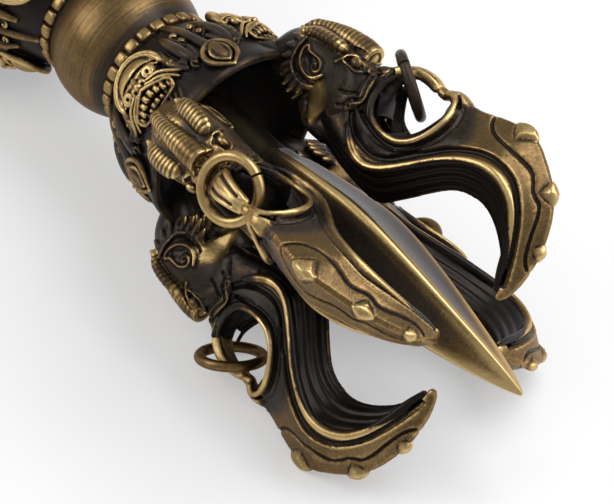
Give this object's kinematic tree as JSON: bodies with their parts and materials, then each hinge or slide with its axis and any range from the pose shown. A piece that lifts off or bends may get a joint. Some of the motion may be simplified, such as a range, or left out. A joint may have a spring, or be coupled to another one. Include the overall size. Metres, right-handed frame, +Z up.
{
  "type": "vajra",
  "caption": "Wrathful ritual vajra in antiqued brass, with makara heads holding hooked prongs and loose rings around a four-sided blade at each end of a sphere",
  "frame": {"origin": "on the surface the vajra lies on, below the middle of the central sphere", "axes": "+X along the vajra's long axis towards one blade's point, +Y to the back, +Z up"},
  "size_m": [0.2404, 0.0602, 0.0582],
  "materials": {
    "cast_brass": "dark antique patina with brushed gold high spots",
    "sphere_brass": "smooth dark antique patina",
    "ring_brass": "filed brass wire",
    "rod_steel": "plain"
  },
  "bodies": {
    "root": {"center_sphere": "sphere_brass", "tie_rod": "rod_steel", "bead_ring_right": "cast_brass", "bead_ring_left": "cast_brass", "face_collar_right": "cast_brass", "face_collar_left": "cast_brass", "blade_right": "cast_brass", "blade_left": "cast_brass", "makara_right_top_front": "cast_brass", "prong_right_top_front": "cast_brass", "makara_right_top_back": "cast_brass", "prong_right_top_back": "cast_brass", "makara_right_low_front": "cast_brass", "prong_right_low_front": "cast_brass", "makara_right_low_back": "cast_brass", "prong_right_low_back": "cast_brass", "makara_left_top_front": "cast_brass", "prong_left_top_front": "cast_brass", "makara_left_top_back": "cast_brass", "prong_left_top_back": "cast_brass", "makara_left_low_front": "cast_brass", "prong_left_low_front": "cast_brass", "makara_left_low_back": "cast_brass", "prong_left_low_back": "cast_brass"},
    "ring_right_top_front": {"ring_right_top_front": "ring_brass"},
    "ring_right_top_back": {"ring_right_top_back": "ring_brass"},
    "ring_right_low_front": {"ring_right_low_front": "ring_brass"},
    "ring_right_low_back": {"ring_right_low_back": "ring_brass"},
    "ring_left_top_front": {"ring_left_top_front": "ring_brass"},
    "ring_left_top_back": {"ring_left_top_back": "ring_brass"},
    "ring_left_low_front": {"ring_left_low_front": "ring_brass"},
    "ring_left_low_back": {"ring_left_low_back": "ring_brass"}
  },
  "joints": [
    {"name": "ring_right_top_front_swing", "type": "hinge", "parent": "root", "child": "ring_right_top_front", "pos_m": [0.06693, -0.02114, 0.05006], "axis": [0.0285, 0.5896, 0.8072], "range_deg": [0, 125]},
    {"name": "ring_right_top_back_swing", "type": "hinge", "parent": "root", "child": "ring_right_top_back", "pos_m": [0.06703, 0.01987, 0.04879], "axis": [0.2274, -0.343, 0.9114], "range_deg": [-85, 0]},
    {"name": "ring_right_low_front_swing", "type": "hinge", "parent": "root", "child": "ring_right_low_front", "pos_m": [0.06773, -0.0222, 0.00672], "axis": [-0.0012, -0.9316, 0.3635], "range_deg": [-15, 120]},
    {"name": "ring_right_low_back_swing", "type": "hinge", "parent": "root", "child": "ring_right_low_back", "pos_m": [0.06773, 0.0222, 0.00672], "axis": [0.0012, -0.9316, -0.3635], "range_deg": [-15, 120]},
    {"name": "ring_left_top_front_swing", "type": "hinge", "parent": "root", "child": "ring_left_top_front", "pos_m": [-0.06693, -0.02114, 0.05006], "axis": [0.0285, -0.5896, -0.8072], "range_deg": [0, 125]},
    {"name": "ring_left_top_back_swing", "type": "hinge", "parent": "root", "child": "ring_left_top_back", "pos_m": [-0.06703, 0.01987, 0.04879], "axis": [0.2274, 0.343, -0.9114], "range_deg": [-85, 0]},
    {"name": "ring_left_low_front_swing", "type": "hinge", "parent": "root", "child": "ring_left_low_front", "pos_m": [-0.06773, -0.0222, 0.00672], "axis": [-0.0012, 0.9316, -0.3635], "range_deg": [-15, 120]},
    {"name": "ring_left_low_back_swing", "type": "hinge", "parent": "root", "child": "ring_left_low_back", "pos_m": [-0.06773, 0.0222, 0.00672], "axis": [0.0012, 0.9316, 0.3635], "range_deg": [-15, 120]}
  ]
}
